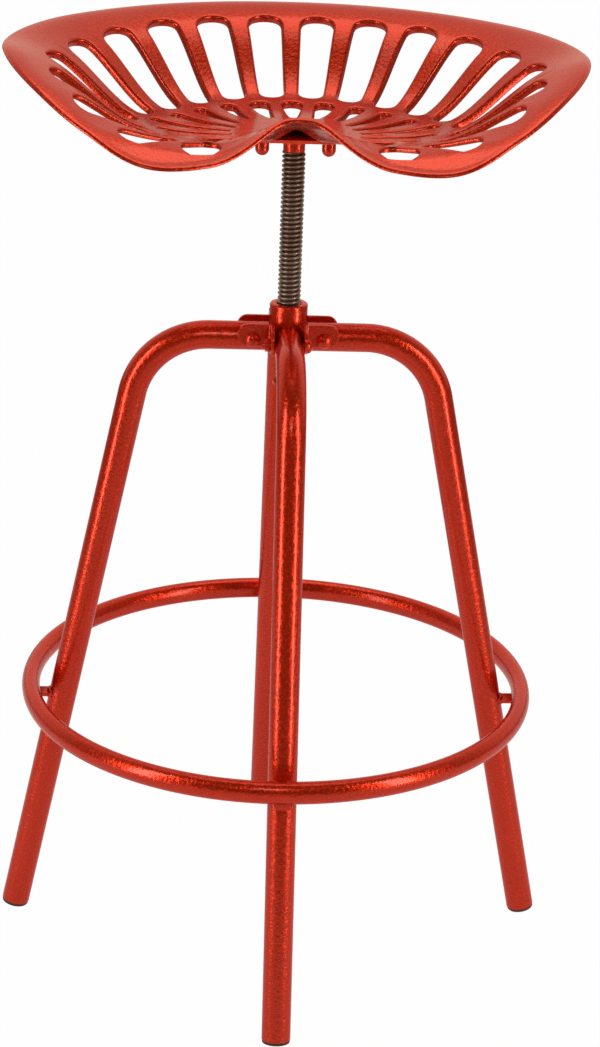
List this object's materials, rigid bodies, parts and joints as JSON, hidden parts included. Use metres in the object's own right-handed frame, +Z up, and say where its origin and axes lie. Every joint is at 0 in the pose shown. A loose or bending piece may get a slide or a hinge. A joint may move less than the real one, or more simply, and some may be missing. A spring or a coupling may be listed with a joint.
{
  "type": "tractor seat stool",
  "caption": "Bar-height stool with a slotted pan seat that winds up and down on a screw spindle, over bent tube legs joined by a round foot ring.",
  "frame": {"origin": "on the floor under the screw spindle's axis", "axes": "+Z up, the seat's pommel towards -Y, the legs along +X, +Y, -X and -Y"},
  "size_m": [0.5042, 0.5042, 0.8222],
  "materials": {
    "red_paint": "glossy red hammered paint",
    "screw_steel": "dark bare steel, oiled",
    "plug_plastic": "matte black"
  },
  "bodies": {
    "base": {"leg_right": "red_paint", "foot_plug_right": "plug_plastic", "ring_tab_right": "red_paint", "leg_bolt_right": "red_paint", "leg_nut_right": "red_paint", "leg_back": "red_paint", "foot_plug_back": "plug_plastic", "ring_tab_back": "red_paint", "leg_bolt_back": "red_paint", "leg_nut_back": "red_paint", "leg_left": "red_paint", "foot_plug_left": "plug_plastic", "ring_tab_left": "red_paint", "leg_bolt_left": "red_paint", "leg_nut_left": "red_paint", "leg_front": "red_paint", "foot_plug_front": "plug_plastic", "ring_tab_front": "red_paint", "leg_bolt_front": "red_paint", "leg_nut_front": "red_paint", "hub_bracket_back_right": "red_paint", "hub_bracket_back_left": "red_paint", "hub_bracket_front_left": "red_paint", "hub_bracket_front_right": "red_paint", "foot_ring": "red_paint", "hub_nut": "red_paint"},
    "stop_slider": {"stop_washer": "red_paint"},
    "seat": {"spindle": "screw_steel", "stop_screw": "screw_steel", "seat_plate": "red_paint", "seat_pan": "red_paint", "seat_stud_back_right": "screw_steel", "cap_nut_back_right": "red_paint", "seat_stud_back_left": "screw_steel", "cap_nut_back_left": "red_paint", "seat_stud_front_left": "screw_steel", "cap_nut_front_left": "red_paint", "seat_stud_front_right": "screw_steel", "cap_nut_front_right": "red_paint"}
  },
  "joints": [
    {"name": "seat_height", "type": "slide", "parent": "base", "child": "stop_slider", "axis": [0, 0, 1], "range_m": [-0.1285, 0.0245]},
    {"name": "seat_spin", "type": "hinge", "parent": "stop_slider", "child": "seat", "pos_m": [0, 0, 0.6], "axis": [0, 0, 1], "range_deg": [-11520, 2160]}
  ],
  "couplings": [
    {"joint": "seat_height", "follows": "seat_spin", "m_per_rad": 0.00063662}
  ]
}
